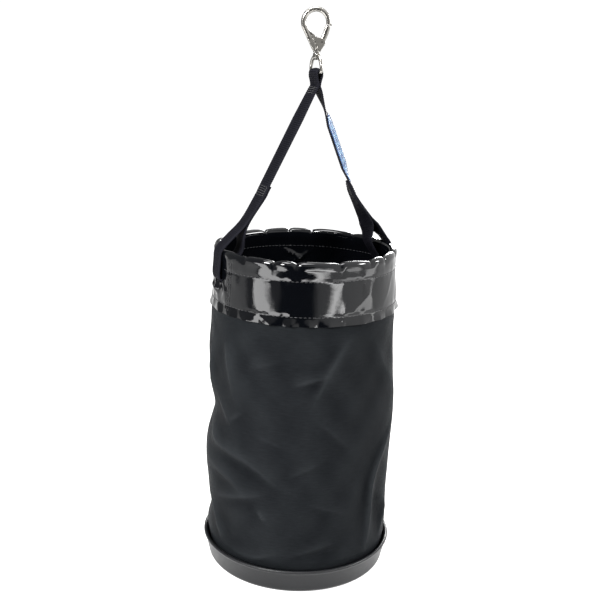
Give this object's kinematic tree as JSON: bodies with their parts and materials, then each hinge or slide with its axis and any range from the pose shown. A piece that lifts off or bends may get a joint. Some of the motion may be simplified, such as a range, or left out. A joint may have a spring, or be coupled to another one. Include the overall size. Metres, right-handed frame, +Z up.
{
  "type": "rope storage bag",
  "caption": "Cylindrical canvas rope bag with a moulded base cup, rolled vinyl collar, webbing sling and swivel snap hook.",
  "frame": {"origin": "centre of the base cup's flat underside, on the floor", "axes": "+Z up along the bag's axis; the sling's legs lie in the vertical plane 24 degrees from +X towards +Y; -Y is the side that faces the viewer in the picture"},
  "size_m": [0.25, 0.25, 0.7113],
  "materials": {
    "canvas": "matt heavy canvas",
    "vinyl": "glossy vinyl-coated cloth",
    "webbing": "woven polyamide webbing",
    "thread": "bonded sewing thread",
    "label_weave": "woven blue and white label",
    "cup_plastic": "semi-gloss moulded plastic",
    "board": "plain sheet",
    "adhesive": "cured contact adhesive",
    "hoop_steel": "drawn spring steel",
    "plated_steel": "bright nickel plate"
  },
  "bodies": {
    "bag": {"base_cup": "cup_plastic", "base_adhesive": "adhesive", "cloth_bottom": "canvas", "base_stiffener": "board", "cloth_wall": "canvas", "wall_seam_stitch": "thread", "bottom_stitch": "thread", "collar": "vinyl", "collar_seam_stitch": "thread", "collar_top_stitch": "thread", "collar_bottom_stitch": "thread", "rim_hoop": "hoop_steel", "hoop_ferrule": "hoop_steel", "rim_loop_left": "webbing", "rim_loop_right": "webbing"},
    "sling": {"sling_strap": "webbing", "splice_stitch_left": "thread", "splice_stitch_right": "thread", "eye_stitch": "thread", "label": "label_weave", "label_stitch": "thread"},
    "ring": {"swivel_ring": "plated_steel"},
    "hook": {"swivel_pin": "plated_steel", "hook_body": "plated_steel", "gate_pin": "plated_steel", "gate_spring": "hoop_steel"},
    "gate": {"gate": "plated_steel"}
  },
  "joints": [
    {"name": "sling_swing", "type": "hinge", "parent": "bag", "child": "sling", "pos_m": [0, 0, 0.442], "axis": [0.9135, 0.4067, 0], "range_deg": [-90, 90]},
    {"name": "ring_tilt", "type": "hinge", "parent": "sling", "child": "ring", "pos_m": [0.00548, 0.00244, 0.637], "axis": [-0.4067, 0.9135, 0], "range_deg": [-110, 110]},
    {"name": "hook_swivel", "type": "hinge", "parent": "ring", "child": "hook", "pos_m": [0.00548, 0.00244, 0.655], "axis": [0, 0, 1], "continuous": true},
    {"name": "gate_open", "type": "hinge", "parent": "hook", "child": "gate", "pos_m": [0.01148, 0.00244, 0.6728], "axis": [0, -1, 0], "range_deg": [0, 32], "stiffness_Nm_per_rad": 0.05, "springref_deg": -17.19}
  ]
}
